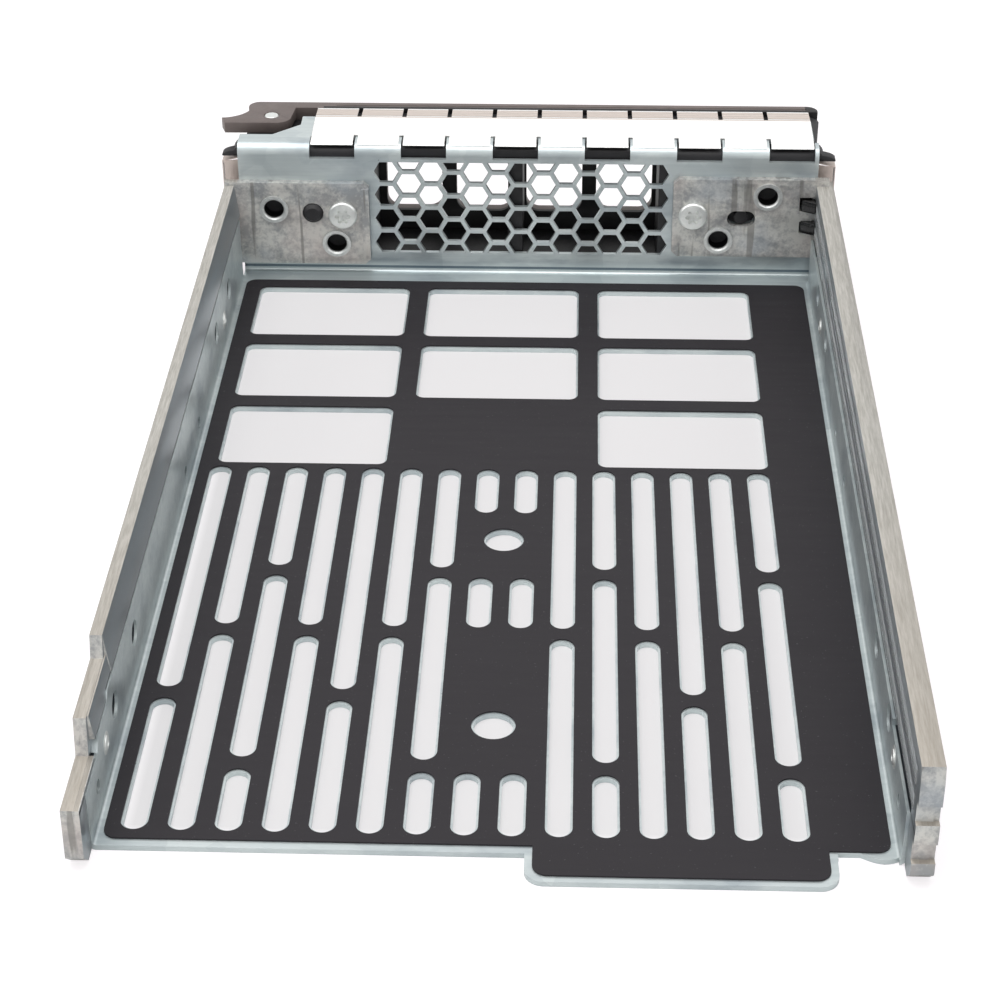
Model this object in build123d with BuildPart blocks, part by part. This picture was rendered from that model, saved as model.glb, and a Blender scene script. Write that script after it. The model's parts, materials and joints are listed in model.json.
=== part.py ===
from build123d import *
import os
from math import cos, pi, radians, sin, sqrt

os.makedirs("parts", exist_ok=True)

# Millimetres. X runs across the caddy, Y from its front (-Y) to its rear, Z up from the
# underside of the tray. The handle and the release button are at the front.

# Folded steel tray
sheet = 0.8                  # steel thickness
fold = 0.5                   # inner radius of the lower folds
bay_width = 103.0            # between the side flanges
wall_y = -72.3               # rear face of the perforated front wall
floor_length = 158.3         # from that face to the rear edge of the floor
flange_height = 12.2
flange_setback = 2.8         # side flanges stop short of the front wall
flange_low = 11.1            # height of the flanges' rear stretch
flange_low_length = 17.4
pipe_dip_length = 9.0        # the right flange dips at its front, where a light pipe crosses
pipe_dip_height = 9.4
tray_top = 25.75             # upper face of the top flange
top_fold = 1.2               # inner radius of the fold above the wall
top_reach = 12.5             # top flange, forward from the wall's rear face
wall_left = 51.5             # side edges of the front wall
wall_right = -52.2
tab_left = -3.8              # rear tab
tab_right = -43.5
tab_reach = 5.2
tab_radius = 2.5

# Openings in the floor: long slots in columns, windows and two round holes
slot_width = 3.0
column_pitch = 6.1
first_column_x = 46.8
row_pitch = 15.0
first_row_y = -4.2
row_gap = 3.07               # steel left between two slots of a column
slot_runs = {                # first row: {column: row where the slot ends}
    0: {0: 4, 1: 3, 2: 2, 3: 3, 4: 4, 5: 3, 6: 2, 7: 1, 8: 1, 9: 3, 10: 2, 11: 3, 12: 4, 13: 3, 14: 2},
    2: {2: 5, 6: 5, 7: 3, 8: 3, 10: 5, 14: 5},
    3: {1: 6, 3: 6, 5: 6, 9: 6, 11: 6, 13: 6},
    4: {0: 6, 4: 6, 12: 6},
    5: {2: 6, 6: 6, 7: 6, 8: 6, 10: 6, 14: 6},
}
window_width = 26.55
window_depth = 17.2
window_radius = 1.2
window_pitch_x = 30.5
window_pitch_y = 21.0
window_centre_x = 3.65
window_centre_y = -35.45
round_hole_radius = 2.75
round_hole_x = 1.05
round_hole_y = 15.4
round_hole_pitch = 45.0

# Insulating film on the floor, open a little wider than the steel
film_thickness = 0.25
film_margin = 0.3
film_side_gap = 1.0
film_front_gap = 4.4
film_rear_gap = 1.3
film_tab_inset = 1.0
film_radius = 2.0

# Hexagon mesh of the front wall
cell_flats = 3.96
cell_pitch = 4.66
mesh_columns = 13
mesh_x = 0.745
mesh_z = 13.63
tall_column_cells = 4

# Windows in the top fold and the cut-out that lets the handle's horn swing
bend_window_width = 8.1
bend_window_pitch = 16.4
bend_window_count = 6
bend_window_x = -6.45
bend_window_z = 23.75
bend_window_y = -76.4
horn_cut_y = -76.9
horn_cut_x = 45.6
horn_slope_x = 40.9
horn_slope_y = -81.2

# Drive screw holes, in pairs along each side
drive_hole_radius = 1.9
drive_hole_z = 7.4
drive_hole_setback = 20.0    # first hole, behind the front wall
drive_hole_pitch = 101.6
drive_pair_offset = 16.05
countersink_radius = 3.2
countersink_angle = 90
tooling_holes = ((-13.1, 3.8), (1.7, 3.7), (79.3, 4.9))
tooling_hole_radius = 1.0

# Die-cast rails
rail_front = -73.1
rail_rear = 90.4
left_rail_thickness = 1.7
left_rail_height = 18.3
left_step_y = 64.6
left_step_height = 15.2
left_end_y = 78.2
left_end_height = 9.8
step_slant = 1.0
lead_in = 2.4
right_rail_height = 19.3
right_web = 1.9
right_rib_depth = 0.75
right_ribs = ((0.0, 4.25), (7.35, 10.45), (13.45, 19.3))
right_boss_radius = 4.1

# Inward flanges of the rails, behind the front wall
cast_thickness = 1.3
cast_corner = 1.0
left_cast_end = 28.05
left_cast_low = 2.85
left_cast_high = 18.95
left_bead_width = 1.3
left_bead_height = 0.5
right_cast_end = -26.55
right_cast_low = 5.15
right_cast_high = 20.45

# Rivets between flange and rail
rivet_radius = 1.6
rivet_head_radius = 2.2
rivet_head_height = 0.35
rivet_places = ((-45.0, 5.2), (72.5, 6.6))

# Hollow collars swaged through cast flange and wall
collar_places = ((45.32, 13.76), (34.19, 7.04), (-43.43, 17.16), (-34.92, 8.49))
collar_bore = 1.8
collar_radius = 2.15
collar_flare_radius = 2.6
collar_flare = 0.35
collar_chamfer = 0.25

# Screws that hold the bezel, and its two locating posts
screw_places = ((32.86, 12.9), (-30.21, 13.44))
screw_head_radius = 2.5
screw_head_height = 1.3
screw_shank_radius = 1.25
screw_hole_clearance = 0.25
screw_reach = 6.0
screw_tip = 0.5
recess_width = 0.8
recess_length = 2.9
recess_depth = 0.7
post_x = 38.29
post_z = 13.04
post_radius = 1.8
post_proud = 0.7
oval_x = -38.85
oval_z = 12.75
oval_length = 5.0
oval_height = 3.0
oval_post_radius = 1.25
post_clearance = 0.1

# Bezel moulding in front of the wall
bezel_depth = 15.3
bezel_left = 51.0
bezel_right = -53.1
bezel_right_taper = 1.6
bezel_corner = 2.4
bezel_roof = 2.35
bezel_floor = 1.4
bezel_relief = 0.45          # roof, floor and post stand clear of the mesh by this
air_left = 27.6
air_right = -24.0
air_post_left = 3.1
air_post_width = 2.6

# Handle: a grille plate across the front, two arms and a pivot at its left end
handle_gap = 0.3
handle_plate = 2.5
handle_left = 51.3
handle_right = -53.1
handle_low = 0.4
handle_high = 25.75
arm_thickness = 2.0
pivot_x = 46.7
pivot_setback = 3.4          # pivot, behind the plate's rear face
pivot_radius = 1.35
pivot_clearance = 0.05
horn_reach = 9.0
arm_clearance = 0.3
boss_radius = 3.0
swing_radius = 9.5           # room for the arms in the bezel
grille_count = 4
grille_pitch = 13.05
grille_width = 10.4
grille_height = 16.8
grille_x = 1.475
grille_z = 13.6
grille_radius = 2.5
top_groove = 0.3
top_groove_depth = 0.5
corner_radius = 2.0

# Release button: slides sideways in the bezel against a coil spring
button_left = -38.5
button_width = 8.0
button_height = 14.0
button_z = 13.0
button_recess = 0.2
button_travel = 2.0
button_clearance = 0.3
button_depth = 12.2
button_waist = 0.75          # hollow behind the hook, where the catch of the handle lies
hook_depth = 1.2
button_guide = 1.0           # ribs above and below that hold it in the bezel
button_guide_depth = 2.0
grip_count = 4
grip_depth = 0.4
catch_thickness = 1.2
catch_nose = 0.8
catch_height = 9.0
catch_gap = 0.25

# Springs
button_spring_wire = 0.4
button_spring_radius = 1.5
button_spring_turns = 4
button_spring_bore = 2.1
button_spring_seat = 3.0     # centre line of the spring, ahead of the button's rear face
handle_spring_wire = 0.6
handle_spring_radius = 2.4
handle_spring_turns = 4
handle_spring_pitch = 0.9
handle_spring_z = 11.0
handle_spring_leg = 7.0
spring_room = 0.35
coil_sides = 12              # straight lengths of wire in a turn
wire_sides = 6

# Light pipes in the right rail
pipe_x = -50.3               # where they pass the front wall
upper_pipe_z = 15.7
upper_pipe_width = 1.6
upper_pipe_height = 2.0
upper_pipe_sink = 1.0        # depth in the rail's groove
lower_pipe_z = 11.2
lower_pipe_width = 1.3
lower_pipe_height = 1.6
lower_pipe_sink = 1.35
pipe_clearance = 0.1
pipe_window_clearance = 0.35
pipe_rear = 88.6
pipe_jog = 4.5               # length of the sideways step behind the wall
pipe_jog_gap = 2.6
pipe_bend = 2.0
pipe_end_gap = 0.3
lamp_radius = 0.9

# Spring strip on the top flange and leaf springs at the sides
strip_sheet = 0.15
strip_left = 38.4
strip_right = -52.0
strip_rear = -75.7
strip_ridge_y = -84.9
strip_front = -88.3
strip_rise = 0.5
strip_drop = 0.05
finger_pitch = 8.2
finger_slit = 0.9
front_slit_length = 3.8
rear_slit_length = 2.4
hook_reach = 1.3
hook_drop = 0.6
leaf_sheet = 0.2
leaf_width = 4.0
leaf_y = -78.5
leaf_low = 12.4
leaf_high = 21.6
left_leaf_reach = 55.0
right_leaf_reach = -55.7
leaf_foot = 1.6
leaf_seat = 0.1              # the leaf's foot stands off the bezel by this
cap_height = 2.0
cap_reach = 2.2

# Values worked out from the sizes above
bay_half = bay_width / 2
tray_half = bay_half + sheet
wall_front = wall_y - sheet
floor_rear = wall_y + floor_length
flange_front = wall_y + flange_setback
bezel_front = wall_front - bezel_depth
plate_rear = bezel_front - handle_gap
plate_front = plate_rear - handle_plate
pivot_y = plate_rear + pivot_setback
bezel_high = tray_top - sheet
cast_face = wall_y + cast_thickness
cell_radius = cell_flats / sqrt(3)
column_step = cell_pitch * sqrt(3) / 2
mesh_height = (tall_column_cells - 1) * cell_pitch + cell_flats
rail_inner = tray_half
left_rail_outer = rail_inner + left_rail_thickness
right_web_outer = rail_inner + right_web
right_rail_outer = right_web_outer + right_rib_depth
first_hole_y = wall_y + drive_hole_setback
drive_holes = [
    (first_hole_y + pair + end, drive_hole_z)
    for pair in (0, drive_pair_offset) for end in (0, drive_hole_pitch)
]
button_right = button_left - button_width
button_front = plate_front + button_recess
button_rear = button_front + button_depth
pocket_right = button_right - button_travel - button_clearance - 0.2
upper_pipe_rail_x = -(rail_inner + upper_pipe_sink - upper_pipe_width / 2)
lower_pipe_rail_x = -(rail_inner + lower_pipe_sink - lower_pipe_width / 2)
lamp_places = [(pipe_x - 0.4, upper_pipe_z), (pipe_x - 0.4, lower_pipe_z)]


def front_view(y):
    # sketch plane facing the front: local x is X, local y is Z
    return Plane.XZ.offset(-y)


def floor_openings(margin, mode):
    # slots, windows and round holes of the floor, grown by margin all round
    for first_row, runs in slot_runs.items():
        for column, last_row in runs.items():
            front = first_row_y + first_row * row_pitch
            rear = first_row_y + last_row * row_pitch - row_gap
            with Locations((first_column_x - column * column_pitch, (front + rear) / 2)):
                SlotOverall(rear - front + 2 * margin, slot_width + 2 * margin, rotation=90,
                            mode=mode)
    with Locations((window_centre_x, window_centre_y)):
        with GridLocations(window_pitch_x, window_pitch_y, 3, 3) as grid:
            places = [place for place in grid.locations]
    middle_rear = Vector(window_centre_x, window_centre_y + window_pitch_y)
    for place in places:
        if (place.position - middle_rear).length > window_radius:
            with Locations(place):
                RectangleRounded(window_width + 2 * margin, window_depth + 2 * margin,
                                 window_radius + margin, mode=mode)
    with Locations((round_hole_x, round_hole_y), (round_hole_x, round_hole_y + round_hole_pitch)):
        Circle(round_hole_radius + margin, mode=mode)


def floor_outline(half_width, front, rear, tab_inset, tab_rear, radius):
    # plan of the floor with the tab at its rear edge
    with Locations((0, (front + rear) / 2)):
        Rectangle(2 * half_width, rear - front)
    tab_from = tab_right + tab_inset
    tab_to = tab_left - tab_inset
    with Locations(((tab_from + tab_to) / 2, (rear + tab_rear) / 2 - radius / 2)):
        RectangleRounded(tab_to - tab_from, tab_rear - rear + radius, radius)


# Tray: floor, side flanges, front wall and top flange folded from one sheet
with BuildPart() as tray:
    with BuildSketch(Plane.XZ.offset(-flange_front)):
        with BuildLine():
            side = bay_half + sheet / 2
            FilletPolyline((-side, flange_height), (-side, sheet / 2), (side, sheet / 2),
                           (side, flange_height), radius=fold + sheet / 2)
        trace(line_width=sheet)
    extrude(amount=flange_front - floor_rear)
    with BuildSketch(Plane.YZ.offset(wall_right)):
        with BuildLine():
            middle = wall_y - sheet / 2
            FilletPolyline((flange_front, sheet / 2), (middle, sheet / 2), (middle, tray_top - sheet / 2),
                           (wall_y - top_reach, tray_top - sheet / 2),
                           radius=[fold + sheet / 2, top_fold + sheet / 2])
        trace(line_width=sheet)
    extrude(amount=wall_left - wall_right)
    with BuildSketch(Plane.XY):
        floor_outline(bay_half - fold, floor_rear - tab_radius, floor_rear, 0,
                      floor_rear + tab_reach, tab_radius)
    extrude(amount=sheet)
    with BuildSketch(Plane.XY):
        floor_openings(0, Mode.ADD)
    extrude(amount=sheet, mode=Mode.SUBTRACT)
    # hexagon mesh
    with BuildSketch(front_view(wall_y)):
        half_columns = mesh_columns // 2
        for column in range(-half_columns, half_columns + 1):
            cells = tall_column_cells + column % 2
            with Locations((mesh_x + column * column_step, mesh_z)):
                with GridLocations(cell_pitch, cell_pitch, 1, cells):
                    RegularPolygon(cell_radius, 6)
        with Locations((mesh_x, mesh_z)):
            Rectangle(2 * mesh_columns * column_step, mesh_height, mode=Mode.INTERSECT)
    extrude(amount=sheet, both=True, mode=Mode.SUBTRACT)
    # windows in the top fold
    with BuildSketch(Plane.XY.offset(bend_window_z)):
        with Locations((bend_window_x, (bend_window_y + wall_y) / 2)):
            with GridLocations(bend_window_pitch, 1, bend_window_count, 1):
                Rectangle(bend_window_width, wall_y - bend_window_y)
    extrude(amount=sheet + top_fold + sheet, mode=Mode.SUBTRACT)
    # cut-out for the horn of the handle
    with BuildSketch(Plane.XY.offset(bezel_high)):
        with BuildLine():
            Polyline((wall_left + 1, horn_cut_y), (horn_cut_x, horn_cut_y),
                     (horn_slope_x, horn_slope_y), (horn_slope_x, plate_front),
                     (wall_left + 1, plate_front), close=True)
        make_face()
    extrude(amount=sheet, mode=Mode.SUBTRACT)
    # holes of the front wall
    with BuildSketch(front_view(wall_y)):
        with Locations(*collar_places):
            Circle(collar_radius)
        with Locations(*screw_places):
            Circle(screw_shank_radius + screw_hole_clearance)
        with Locations((post_x, post_z)):
            Circle(post_radius + post_clearance)
        with Locations((oval_x, oval_z)):
            SlotOverall(oval_length, oval_height)
        with Locations((pipe_x, upper_pipe_z)):
            Rectangle(upper_pipe_width + 2 * pipe_window_clearance,
                      upper_pipe_height + 2 * pipe_window_clearance)
        with Locations((pipe_x, lower_pipe_z)):
            Rectangle(lower_pipe_width + 2 * pipe_window_clearance,
                      lower_pipe_height + 2 * pipe_window_clearance)
    extrude(amount=sheet, both=True, mode=Mode.SUBTRACT)
    # holes of the side flanges
    with BuildSketch(Plane.YZ.offset(-tray_half)):
        with Locations(*drive_holes):
            Circle(drive_hole_radius)
        with Locations(*rivet_places):
            Circle(rivet_radius)
        with Locations(*tooling_holes):
            Circle(tooling_hole_radius)
    extrude(amount=2 * tray_half, mode=Mode.SUBTRACT)
    # lower rear stretch of both flanges
    with BuildSketch(Plane.YZ.offset(-tray_half)):
        with BuildLine():
            Polyline((floor_rear - flange_low_length, flange_height),
                     (floor_rear - flange_low_length + step_slant, flange_low),
                     (floor_rear, flange_low), (floor_rear, flange_height), close=True)
        make_face()
    extrude(amount=2 * tray_half, mode=Mode.SUBTRACT)
    # dip at the front of the right flange
    with BuildSketch(Plane.YZ.offset(-tray_half)):
        with BuildLine():
            Polyline((flange_front, pipe_dip_height),
                     (flange_front + pipe_dip_length - 2 * step_slant, pipe_dip_height),
                     (flange_front + pipe_dip_length, flange_height),
                     (flange_front, flange_height), close=True)
        make_face()
    extrude(amount=sheet, mode=Mode.SUBTRACT)
tray.part.label = "tray"
export_step(tray.part, "parts/tray.step")

# Insulating film
with BuildPart() as insulator_film:
    with BuildSketch(Plane.XY.offset(sheet)):
        floor_outline(bay_half - film_side_gap, wall_y + film_front_gap, floor_rear - film_rear_gap,
                      film_tab_inset, floor_rear + tab_reach - film_tab_inset, film_radius)
        floor_openings(film_margin, Mode.SUBTRACT)
    extrude(amount=film_thickness)
insulator_film.part.label = "insulator_film"
export_step(insulator_film.part, "parts/insulator_film.step")


def cast_flange_holes():
    # round, oval and square holes that the cast flanges share with the wall
    with Locations(*collar_places):
        Circle(collar_radius, mode=Mode.SUBTRACT)
    with Locations(*screw_places):
        Circle(screw_shank_radius + screw_hole_clearance, mode=Mode.SUBTRACT)
    with Locations((post_x, post_z)):
        Circle(post_radius + post_clearance, mode=Mode.SUBTRACT)
    with Locations((oval_x, oval_z)):
        SlotOverall(oval_length, oval_height, mode=Mode.SUBTRACT)
    with Locations((pipe_x, upper_pipe_z)):
        Rectangle(upper_pipe_width + 2 * pipe_window_clearance,
                  upper_pipe_height + 2 * pipe_window_clearance, mode=Mode.SUBTRACT)
    with Locations((pipe_x, lower_pipe_z)):
        Rectangle(lower_pipe_width + 2 * pipe_window_clearance,
                  lower_pipe_height + 2 * pipe_window_clearance, mode=Mode.SUBTRACT)


# Left rail: cast bar with a stepped rear end and an inward flange
with BuildPart() as left_rail:
    with BuildSketch(Plane.YZ.offset(rail_inner)):
        with BuildLine():
            Polyline((rail_front, 0), (rail_rear - lead_in, 0), (rail_rear, lead_in),
                     (rail_rear - step_slant / 2, left_end_height),
                     (left_end_y + step_slant, left_end_height), (left_end_y, left_step_height),
                     (left_step_y + step_slant, left_step_height), (left_step_y, left_rail_height),
                     (rail_front, left_rail_height), close=True)
        make_face()
    extrude(amount=left_rail_thickness)
    with BuildSketch(front_view(wall_y)):
        with BuildLine():
            Polyline((left_rail_outer, left_cast_low), (left_cast_end + cast_corner, left_cast_low),
                     (left_cast_end, left_cast_low + cast_corner),
                     (left_cast_end, left_cast_high - cast_corner),
                     (left_cast_end + cast_corner, left_cast_high),
                     (left_rail_outer, left_cast_high), close=True)
        make_face()
        cast_flange_holes()
    extrude(amount=-cast_thickness)
    with BuildSketch(front_view(cast_face)):
        with Locations((left_cast_end + left_bead_width / 2, (left_cast_low + left_cast_high) / 2)):
            Rectangle(left_bead_width, left_cast_high - left_cast_low - 2 * cast_corner)
    extrude(amount=-left_bead_height)
    with BuildSketch(Plane.YZ.offset(rail_inner)):
        with Locations(*drive_holes):
            Circle(drive_hole_radius)
        with Locations(*rivet_places):
            Circle(rivet_radius)
    extrude(amount=left_rail_thickness, mode=Mode.SUBTRACT)
    with Locations(*[Location((left_rail_outer, y, z), (0, 90, 0)) for y, z in drive_holes]):
        CounterSinkHole(drive_hole_radius, countersink_radius, depth=left_rail_thickness,
                        counter_sink_angle=countersink_angle)
left_rail.part.label = "left_rail"
export_step(left_rail.part, "parts/left_rail.step")

# Right rail: web with three outer ribs, grooves for the light pipes and an inward flange
with BuildPart() as right_rail:
    with BuildSketch(front_view(rail_front)):
        with Locations((-(rail_inner + right_web / 2), right_rail_height / 2)):
            Rectangle(right_web, right_rail_height)
        for low, high in right_ribs:
            with Locations((-(right_web_outer + right_rib_depth / 2), (low + high) / 2)):
                Rectangle(right_rib_depth, high - low)
    extrude(amount=rail_front - rail_rear)
    with BuildSketch(Plane.YZ.offset(-right_rail_outer)):
        with Locations(*drive_holes):
            Circle(right_boss_radius)
        with Locations(*rivet_places):
            Circle(rivet_head_radius + right_rib_depth)
    extrude(amount=right_rib_depth)
    with BuildSketch(Plane.YZ.offset(-right_rail_outer)):
        with BuildLine():
            Polyline((rail_rear - lead_in, 0), (rail_rear, lead_in), (rail_rear, 0), close=True)
        make_face()
    extrude(amount=right_rail_outer - rail_inner, mode=Mode.SUBTRACT)
    groove_length = pipe_rear - rail_front + 2 * pipe_clearance
    with BuildSketch(front_view(rail_front)):
        with Locations((-(rail_inner + (upper_pipe_sink + pipe_clearance) / 2), upper_pipe_z)):
            Rectangle(upper_pipe_sink + pipe_clearance, upper_pipe_height + 2 * pipe_clearance)
        with Locations((-(rail_inner + (lower_pipe_sink + pipe_clearance) / 2), lower_pipe_z)):
            Rectangle(lower_pipe_sink + pipe_clearance, lower_pipe_height + 2 * pipe_clearance)
    extrude(amount=-groove_length, mode=Mode.SUBTRACT)
    with BuildSketch(front_view(wall_y)):
        with BuildLine():
            Polyline((-right_web_outer, right_cast_low), (right_cast_end - cast_corner, right_cast_low),
                     (right_cast_end, right_cast_low + cast_corner),
                     (right_cast_end, right_cast_high - cast_corner),
                     (right_cast_end - cast_corner, right_cast_high),
                     (-right_web_outer, right_cast_high), close=True)
        make_face()
        cast_flange_holes()
    extrude(amount=-cast_thickness)
    with BuildSketch(Plane.YZ.offset(-right_rail_outer)):
        with Locations(*drive_holes):
            Circle(drive_hole_radius)
        with Locations(*rivet_places):
            Circle(rivet_radius)
    extrude(amount=right_rail_outer - rail_inner, mode=Mode.SUBTRACT)
    with Locations(*[Location((-right_rail_outer, y, z), (0, -90, 0)) for y, z in drive_holes]):
        CounterSinkHole(drive_hole_radius, countersink_radius, depth=right_web + right_rib_depth,
                        counter_sink_angle=countersink_angle)
right_rail.part.label = "right_rail"
export_step(right_rail.part, "parts/right_rail.step")


def rivet_row(side):
    # solid rivets through flange and rail, with a low head inside the bay
    with BuildPart() as row:
        with BuildSketch(Plane.YZ.offset(side * (bay_half - rivet_head_height))):
            with Locations(*rivet_places):
                Circle(rivet_head_radius)
        extrude(amount=side * rivet_head_height)
        with BuildSketch(Plane.YZ.offset(side * bay_half)):
            with Locations(*rivet_places):
                Circle(rivet_radius)
        outer = left_rail_outer if side > 0 else right_rail_outer
        extrude(amount=side * (outer - bay_half))
        heads = row.edges().filter_by(GeomType.CIRCLE)
        heads = heads.filter_by(lambda edge: edge.radius > rivet_radius)
        chamfer(heads.sort_by(Axis.X)[:2] if side > 0 else heads.sort_by(Axis.X)[-2:],
                rivet_head_height * 0.6)
    return row


for side, name in ((1, "left_rail_rivets"), (-1, "right_rail_rivets")):
    row = rivet_row(side)
    row.part.label = name
    export_step(row.part, f"parts/{name}.step")

# Swaged collars
with BuildPart() as wall_collars:
    with BuildSketch(front_view(cast_face + collar_flare)):
        with Locations(*collar_places):
            Circle(collar_flare_radius)
    extrude(amount=collar_flare)
    with BuildSketch(front_view(cast_face)):
        with Locations(*collar_places):
            Circle(collar_radius)
    extrude(amount=cast_face - wall_front)
    with BuildSketch(front_view(wall_front)):
        with Locations(*collar_places):
            Circle(collar_flare_radius)
    extrude(amount=collar_flare)
    with BuildSketch(front_view(cast_face + collar_flare)):
        with Locations(*collar_places):
            Circle(collar_bore)
    extrude(amount=cast_face - wall_front + 2 * collar_flare, mode=Mode.SUBTRACT)
    mouths = wall_collars.edges().filter_by(GeomType.CIRCLE).group_by(Axis.Y)[-1]
    chamfer(mouths.filter_by(lambda edge: edge.radius < collar_radius), collar_chamfer)
wall_collars.part.label = "wall_collars"
export_step(wall_collars.part, "parts/wall_collars.step")

# Bezel screws
with BuildPart() as bezel_screws:
    with BuildSketch(front_view(cast_face + screw_head_height)):
        with Locations(*screw_places):
            Circle(screw_head_radius)
    extrude(amount=screw_head_height)
    crowns = bezel_screws.edges().filter_by(GeomType.CIRCLE).group_by(Axis.Y)[-1]
    chamfer(crowns, screw_head_height * 0.4)
    with BuildSketch(front_view(cast_face)):
        with Locations(*screw_places):
            Circle(screw_shank_radius)
    extrude(amount=cast_face - wall_front + screw_reach)
    chamfer(bezel_screws.edges().filter_by(GeomType.CIRCLE).group_by(Axis.Y)[0], screw_tip)
    with BuildSketch(front_view(cast_face + screw_head_height)):
        with Locations(*screw_places):
            Rectangle(recess_length, recess_width)
            Rectangle(recess_width, recess_length)
    extrude(amount=recess_depth, mode=Mode.SUBTRACT)
bezel_screws.part.label = "bezel_screws"
export_step(bezel_screws.part, "parts/bezel_screws.step")

# Bezel moulding
with BuildPart() as bezel:
    with BuildSketch(Plane.XY):
        with BuildLine():
            Polyline((pivot_x, bezel_front), (bezel_right + bezel_corner, bezel_front))
            RadiusArc((bezel_right + bezel_corner, bezel_front),
                      (bezel_right, bezel_front + bezel_corner), bezel_corner)
            Polyline((bezel_right, bezel_front + bezel_corner),
                     (bezel_right + bezel_right_taper, wall_front), (bezel_left, wall_front),
                     (bezel_left, pivot_y + boss_radius / 2),
                     (pivot_x + boss_radius, pivot_y + boss_radius / 2),
                     (pivot_x + boss_radius, pivot_y))
            ThreePointArc((pivot_x + boss_radius, pivot_y),
                          (pivot_x + boss_radius * sin(radians(45)),
                           pivot_y - boss_radius * cos(radians(45))),
                          (pivot_x, pivot_y - boss_radius))
            Line((pivot_x, pivot_y - boss_radius), (pivot_x, bezel_front))
        make_face()
    extrude(amount=bezel_high)
    rear_top = bezel.edges().filter_by(Axis.X).group_by(Axis.Z)[-1].sort_by(Axis.Y)[-1]
    fillet(rear_top, top_fold + sheet / 4)
    # two air openings with a post between them
    with BuildSketch(front_view(wall_front)):
        post_right = air_post_left - air_post_width
        for left, right in ((air_left, air_post_left), (post_right, air_right)):
            with Locations(((left + right) / 2, (bezel_floor + bezel_high - bezel_roof) / 2)):
                Rectangle(left - right, bezel_high - bezel_roof - bezel_floor)
    extrude(amount=bezel_depth, mode=Mode.SUBTRACT)
    # roof, floor and post stand clear of the mesh
    with BuildSketch(front_view(wall_front)):
        with Locations(((air_left + air_right) / 2, bezel_high / 2)):
            Rectangle(air_left - air_right, bezel_high)
    extrude(amount=bezel_relief, mode=Mode.SUBTRACT)
    # room for the two arms of the handle
    for level, height in ((0, handle_low + arm_thickness + arm_clearance),
                          (handle_high - arm_thickness - arm_clearance, arm_thickness + sheet)):
        with BuildSketch(Plane.XY.offset(level)):
            with Locations((pivot_x, pivot_y)):
                Circle(swing_radius)
        extrude(amount=height, mode=Mode.SUBTRACT)
    # pivot bore and the room of the torsion spring
    with BuildSketch(Plane.XY):
        with Locations((pivot_x, pivot_y)):
            Circle(pivot_radius + pivot_clearance)
    extrude(amount=bezel_high, mode=Mode.SUBTRACT)
    spring_height = handle_spring_turns * handle_spring_pitch + handle_spring_wire
    spring_outer = handle_spring_radius + handle_spring_wire / 2 + spring_room
    with BuildSketch(Plane.XY.offset(handle_spring_z - spring_room)):
        with Locations((pivot_x, pivot_y)):
            Circle(spring_outer)
        with Locations((pivot_x - handle_spring_leg / 2, (bezel_front + pivot_y) / 2)):
            Rectangle(handle_spring_leg + 2 * spring_room, pivot_y - bezel_front)
    extrude(amount=spring_height + 2 * spring_room, mode=Mode.SUBTRACT)
    # pocket of the release button
    with BuildSketch(front_view(bezel_front)):
        pocket_left = button_left + catch_nose + catch_thickness + 2 * button_clearance
        with Locations(((pocket_left + pocket_right) / 2, button_z)):
            Rectangle(pocket_left - pocket_right, button_height + 2 * button_clearance)
    extrude(amount=bezel_front - button_rear - button_clearance, mode=Mode.SUBTRACT)
    with BuildSketch(front_view(button_rear - button_guide_depth - button_clearance)):
        with Locations(((pocket_left + pocket_right) / 2, button_z)):
            Rectangle(pocket_left - pocket_right,
                      button_height + 2 * button_guide + 2 * button_clearance)
    extrude(amount=-button_guide_depth - 2 * button_clearance, mode=Mode.SUBTRACT)
    # holes for the light pipes, the collars and the screws
    with BuildSketch(front_view(wall_front)):
        with Locations((pipe_x, upper_pipe_z)):
            Rectangle(upper_pipe_width + 2 * pipe_clearance, upper_pipe_height + 2 * pipe_clearance)
        with Locations((pipe_x, lower_pipe_z)):
            Rectangle(lower_pipe_width + 2 * pipe_clearance, lower_pipe_height + 2 * pipe_clearance)
    extrude(amount=bezel_depth, mode=Mode.SUBTRACT)
    with BuildSketch(front_view(wall_front)):
        with Locations(*collar_places):
            Circle(collar_flare_radius + spring_room)
    extrude(amount=collar_flare + spring_room, mode=Mode.SUBTRACT)
    with BuildSketch(front_view(wall_front)):
        with Locations(*screw_places):
            Circle(screw_shank_radius)
    extrude(amount=screw_reach, mode=Mode.SUBTRACT)
    # locating posts, the first with a domed end behind the cast flange
    with BuildSketch(front_view(cast_face + post_proud)):
        with Locations((post_x, post_z)):
            Circle(post_radius)
    extrude(amount=cast_face + post_proud - wall_front)
    dome = bezel.edges().filter_by(GeomType.CIRCLE).sort_by(Axis.Y)[-1]
    chamfer(dome, post_proud * 0.8)
    with BuildSketch(front_view(wall_y + cast_thickness / 2)):
        with Locations((oval_x, oval_z)):
            Circle(oval_post_radius)
    extrude(amount=cast_thickness / 2 + sheet)
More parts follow.
